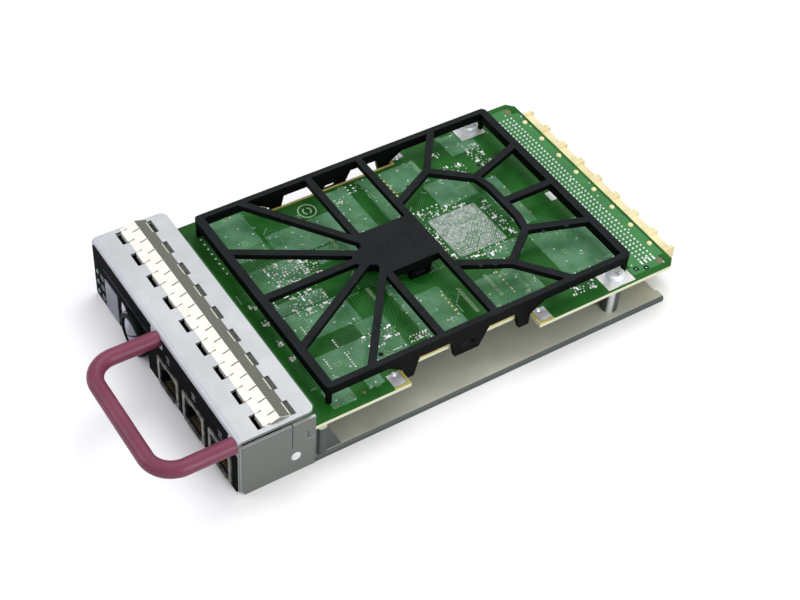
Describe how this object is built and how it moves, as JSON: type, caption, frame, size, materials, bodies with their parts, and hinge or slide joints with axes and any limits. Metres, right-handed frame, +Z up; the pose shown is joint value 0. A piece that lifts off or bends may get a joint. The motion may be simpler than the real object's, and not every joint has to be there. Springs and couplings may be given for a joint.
{
  "type": "storage monitoring module",
  "caption": "Plug-in enclosure monitoring module: tray with circuit board, bezel with handle, display, push-buttons, network sockets, guard web and backplane receptacle.",
  "frame": {"origin": "the middle of the module's footprint, handle and receptacle included, at the height of its underside", "axes": "+X runs across the module to the side with the sockets, +Y runs from the front bezel to the backplane receptacle, +Z is up, from the tray to the guard web"},
  "size_m": [0.1154, 0.2318, 0.0306],
  "materials": {
    "zinc_steel": "bright zinc-plated sheet, faint rolling lines",
    "tray_steel": "galvanised sheet, warm grey and matt",
    "spring_bronze": "bright tin-plated spring strip",
    "screw_steel": "bright plated screws and standoffs",
    "handle_vinyl": "maroon dip coating, satin",
    "black_film": "black polyester film with a fine grain",
    "grey_lens": "grey filter acrylic",
    "display_body": "dark moulded display package",
    "lamp_lens": "pale green light pipe",
    "button_grey": "grey polished plastic",
    "collar_black": "black polished plastic",
    "board_green": "glass-epoxy laminate under green solder mask",
    "guard_black": "black moulded plastic, fine texture",
    "chip_black": "black moulding compound",
    "shield_tin": "tin-plated folded shield",
    "insert_black": "black moulded insert",
    "contact_gold": "gold-plated spring contacts",
    "receptacle_cream": "cream liquid-crystal-polymer housing",
    "pin_tin": "tinned press-fit tails",
    "can_metal": "drawn aluminium can"
  },
  "bodies": {
    "chassis": {"alarm_buzzer": "chip_black", "base_tray": "tray_steel", "board_header": "chip_black", "board_screws": "screw_steel", "board_washers": "screw_steel", "button_collar": "collar_black", "capacitor_1": "can_metal", "capacitor_2": "can_metal", "capacitor_3": "can_metal", "connector_pins": "pin_tin", "cover_frame": "guard_black", "crystal": "can_metal", "display_lens": "grey_lens", "display_module": "display_body", "finger_strip": "spring_bronze", "flash_chip": "chip_black", "front_bezel": "zinc_steel", "front_overlay": "black_film", "handle": "handle_vinyl", "indicator_board": "board_green", "inductor_1": "chip_black", "inductor_2": "chip_black", "jack_contacts_1": "contact_gold", "jack_contacts_2": "contact_gold", "jack_contacts_3": "contact_gold", "jack_insert_1": "insert_black", "jack_insert_2": "insert_black", "jack_insert_3": "insert_black", "jack_shield_1": "shield_tin", "jack_shield_2": "shield_tin", "jack_shield_3": "shield_tin", "logic_chip_1": "chip_black", "logic_chip_2": "chip_black", "lower_switch": "chip_black", "main_board": "board_green", "memory_chip_1": "chip_black", "memory_chip_2": "chip_black", "processor": "chip_black", "receptacle_module_1": "receptacle_cream", "receptacle_module_2": "receptacle_cream", "receptacle_module_3": "receptacle_cream", "receptacle_module_4": "receptacle_cream", "receptacle_module_5": "receptacle_cream", "receptacle_module_6": "receptacle_cream", "receptacle_module_7": "receptacle_cream", "receptacle_module_8": "receptacle_cream", "side_rivets": "screw_steel", "standoffs": "screw_steel", "status_lamp_1": "lamp_lens", "status_lamp_2": "lamp_lens", "status_lamp_3": "lamp_lens", "upper_switch": "chip_black"},
    "upper_button": {"upper_button": "button_grey"},
    "lower_button": {"lower_button": "button_grey"}
  },
  "joints": [
    {"name": "upper_button_press", "type": "slide", "parent": "chassis", "child": "upper_button", "axis": [0, 1, 0], "range_m": [0, 0.0008], "stiffness_N_per_m": 350, "springref_m": -0.0006},
    {"name": "lower_button_press", "type": "slide", "parent": "chassis", "child": "lower_button", "axis": [0, 1, 0], "range_m": [0, 0.0008], "stiffness_N_per_m": 350, "springref_m": -0.0006}
  ]
}
